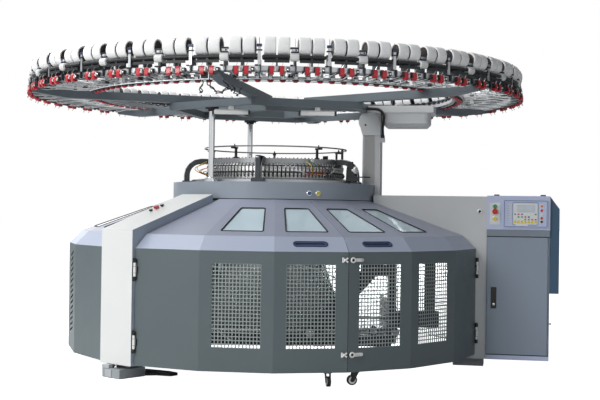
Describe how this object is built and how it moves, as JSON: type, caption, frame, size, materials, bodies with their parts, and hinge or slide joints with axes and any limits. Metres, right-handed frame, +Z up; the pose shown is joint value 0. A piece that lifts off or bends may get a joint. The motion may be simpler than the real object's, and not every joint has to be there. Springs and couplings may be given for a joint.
{
  "type": "circular knitting machine",
  "caption": "Large circular knitting machine with a faceted guard and doors, a bed with its knitting head, a yarn creel ring on posts, and a control cabinet.",
  "frame": {"origin": "on the needle cylinder's axis at floor level", "axes": "+Z up, -Y towards the operator's front, +X to the right, where the control cabinet stands"},
  "size_m": [3.8675, 3.61, 2.1105],
  "materials": {
    "leg_paint": "satin",
    "bed_paint": "satin",
    "white_paint": "satin",
    "beige_paint": "satin",
    "panel_paint": "satin",
    "mesh_steel": "satin",
    "window_glass": "gloss",
    "handle_plastic": "satin",
    "hinge_steel": "satin",
    "chrome": "polished",
    "zinc": "satin",
    "wheel_rubber": "matte",
    "machined_steel": "satin",
    "bracket_paint": "satin",
    "frame_paint": "satin",
    "cable_rubber": "matte",
    "lamp_plastic": "gloss",
    "ring_aluminium": "satin",
    "roller_steel": "satin",
    "yarn_white": "matte",
    "red_plastic": "gloss",
    "feeder_plastic": "gloss",
    "takedown_paint": "satin",
    "knit_cloth": "matte",
    "cabinet_paint": "satin",
    "handle_black": "satin",
    "blue_paint": "satin",
    "lilac_paint": "satin",
    "keypad_frame": "satin",
    "green_plastic": "gloss",
    "yellow_plastic": "gloss",
    "black_plastic": "gloss",
    "blue_plastic": "gloss"
  },
  "bodies": {
    "frame": {"legs": "leg_paint", "bed_ring": "bed_paint", "leg_covers": "white_paint", "drive_housing": "beige_paint", "left_guard": "panel_paint", "rear_guard": "panel_paint", "hinge_blocks": "hinge_steel", "cam_base": "machined_steel", "cam_boxes": "machined_steel", "yarn_carrier_ring": "chrome", "upper_guide_ring": "chrome", "arch_brackets": "bracket_paint", "support_posts": "chrome", "feeder_column": "beige_paint", "top_frame": "frame_paint", "radial_arms": "frame_paint", "belt_drive_box": "beige_paint", "column_cable": "cable_rubber", "lamps": "lamp_plastic", "creel_ring": "ring_aluminium", "bobbin_rollers": "roller_steel", "bobbins": "yarn_white", "yarn_stops": "red_plastic", "feeder_ring": "ring_aluminium", "yarn_feeders": "feeder_plastic", "cabinet_body": "cabinet_paint", "side_box": "blue_paint", "operator_panel": "lilac_paint", "switch_plate": "white_paint", "keypad": "keypad_frame"},
    "rotor": {"needle_cylinder": "machined_steel", "takedown_frame": "takedown_paint", "fabric": "knit_cloth"},
    "front_nip_roller": {"front_nip_roller": "machined_steel"},
    "rear_nip_roller": {"rear_nip_roller": "machined_steel"},
    "cloth_roll": {"cloth_roll": "knit_cloth"},
    "left_door": {"left_door": "panel_paint", "left_door_grilles": "mesh_steel", "left_door_glass": "window_glass", "left_door_handle": "handle_plastic"},
    "right_door": {"right_door": "panel_paint", "right_door_grilles": "mesh_steel", "right_door_glass": "window_glass", "right_door_handle": "handle_plastic"},
    "lower_latch": {"lower_latch": "chrome"},
    "upper_latch": {"upper_latch": "chrome"},
    "left_caster_fork": {"left_caster_fork": "zinc"},
    "left_caster_wheel": {"left_caster_wheel": "wheel_rubber"},
    "right_caster_fork": {"right_caster_fork": "zinc"},
    "right_caster_wheel": {"right_caster_wheel": "wheel_rubber"},
    "cabinet_door": {"cabinet_door": "cabinet_paint"},
    "cabinet_handle": {"cabinet_handle": "handle_black"},
    "stop_button": {"stop_button": "red_plastic"},
    "start_button": {"start_button": "green_plastic"},
    "jog_button": {"jog_button": "yellow_plastic"},
    "leg_stop_button": {"leg_stop_button": "red_plastic"},
    "leg_start_button": {"leg_start_button": "black_plastic"},
    "leg_jog_button": {"leg_jog_button": "black_plastic"},
    "bed_start_button": {"bed_start_button": "blue_plastic"},
    "bed_reset_button": {"bed_reset_button": "yellow_plastic"}
  },
  "joints": [
    {"name": "cylinder_spin", "type": "hinge", "parent": "frame", "child": "rotor", "pos_m": [0, 0, 0], "axis": [0, 0, 1], "continuous": true},
    {"name": "front_nip_spin", "type": "hinge", "parent": "rotor", "child": "front_nip_roller", "pos_m": [0, -0.042, 0.19], "axis": [1, 0, 0], "continuous": true},
    {"name": "rear_nip_spin", "type": "hinge", "parent": "rotor", "child": "rear_nip_roller", "pos_m": [0, 0.042, 0.19], "axis": [1, 0, 0], "continuous": true},
    {"name": "cloth_roll_spin", "type": "hinge", "parent": "rotor", "child": "cloth_roll", "pos_m": [0, 0.29, 0.27], "axis": [1, 0, 0], "continuous": true},
    {"name": "left_door_hinge", "type": "hinge", "parent": "frame", "child": "left_door", "pos_m": [-0.88123, -1.2223, 0], "axis": [0, 0, -1], "range_deg": [0, 90]},
    {"name": "right_door_hinge", "type": "hinge", "parent": "frame", "child": "right_door", "pos_m": [1.43138, -0.47089, 0], "axis": [0, 0, 1], "range_deg": [0, 75]},
    {"name": "lower_latch_turn", "type": "hinge", "parent": "right_door", "child": "lower_latch", "pos_m": [0.48336, -1.41093, 0.2], "axis": [0.454, -0.891, 0], "range_deg": [0, 90]},
    {"name": "upper_latch_turn", "type": "hinge", "parent": "right_door", "child": "upper_latch", "pos_m": [0.48336, -1.41093, 0.785], "axis": [0.454, -0.891, 0], "range_deg": [0, 90]},
    {"name": "left_caster_swivel", "type": "hinge", "parent": "left_door", "child": "left_caster_fork", "pos_m": [0.34093, -1.38876, 0.09], "axis": [0, 0, 1], "continuous": true},
    {"name": "left_caster_roll", "type": "hinge", "parent": "left_caster_fork", "child": "left_caster_wheel", "pos_m": [0.34475, -1.41043, 0.033], "axis": [0.9848, 0.1736, 0], "continuous": true},
    {"name": "right_caster_swivel", "type": "hinge", "parent": "right_door", "child": "right_caster_fork", "pos_m": [0.51725, -1.33317, 0.09], "axis": [0, 0, 1], "continuous": true},
    {"name": "right_caster_roll", "type": "hinge", "parent": "right_caster_fork", "child": "right_caster_wheel", "pos_m": [0.49558, -1.33699, 0.033], "axis": [0.1736, -0.9848, 0], "continuous": true},
    {"name": "cabinet_door_hinge", "type": "hinge", "parent": "frame", "child": "cabinet_door", "pos_m": [1.9122, -0.56798, 0], "axis": [0, 0, 1], "range_deg": [0, 110]},
    {"name": "cabinet_handle_lift", "type": "hinge", "parent": "cabinet_door", "child": "cabinet_handle", "pos_m": [1.5445, -0.49422, 0.558], "axis": [-0.9781, 0.2079, 0], "range_deg": [0, 40]},
    {"name": "stop_button_press", "type": "slide", "parent": "frame", "child": "stop_button", "axis": [0.2079, 0.9781, 0], "range_m": [0, 0.006], "stiffness_N_per_m": 900, "springref_m": -0.002},
    {"name": "start_button_press", "type": "slide", "parent": "frame", "child": "start_button", "axis": [0.2079, 0.9781, 0], "range_m": [0, 0.004], "stiffness_N_per_m": 900, "springref_m": -0.002},
    {"name": "jog_button_press", "type": "slide", "parent": "frame", "child": "jog_button", "axis": [0.2079, 0.9781, 0], "range_m": [0, 0.004], "stiffness_N_per_m": 900, "springref_m": -0.002},
    {"name": "leg_stop_button_press", "type": "slide", "parent": "frame", "child": "leg_stop_button", "axis": [0.2143, 0.238, -0.9473], "range_m": [0, 0.006], "stiffness_N_per_m": 900, "springref_m": -0.002},
    {"name": "leg_start_button_press", "type": "slide", "parent": "frame", "child": "leg_start_button", "axis": [0.2143, 0.238, -0.9473], "range_m": [0, 0.004], "stiffness_N_per_m": 900, "springref_m": -0.002},
    {"name": "leg_jog_button_press", "type": "slide", "parent": "frame", "child": "leg_jog_button", "axis": [0.2143, 0.238, -0.9473], "range_m": [0, 0.004], "stiffness_N_per_m": 900, "springref_m": -0.002},
    {"name": "bed_start_button_press", "type": "slide", "parent": "frame", "child": "bed_start_button", "axis": [-0.309, 0.9511, 0], "range_m": [0, 0.004], "stiffness_N_per_m": 900, "springref_m": -0.002},
    {"name": "bed_reset_button_press", "type": "slide", "parent": "frame", "child": "bed_reset_button", "axis": [-0.3907, 0.9205, 0], "range_m": [0, 0.004], "stiffness_N_per_m": 900, "springref_m": -0.002}
  ],
  "couplings": [
    {"joint": "rear_nip_spin", "follows": "front_nip_spin", "ratio": -1}
  ]
}
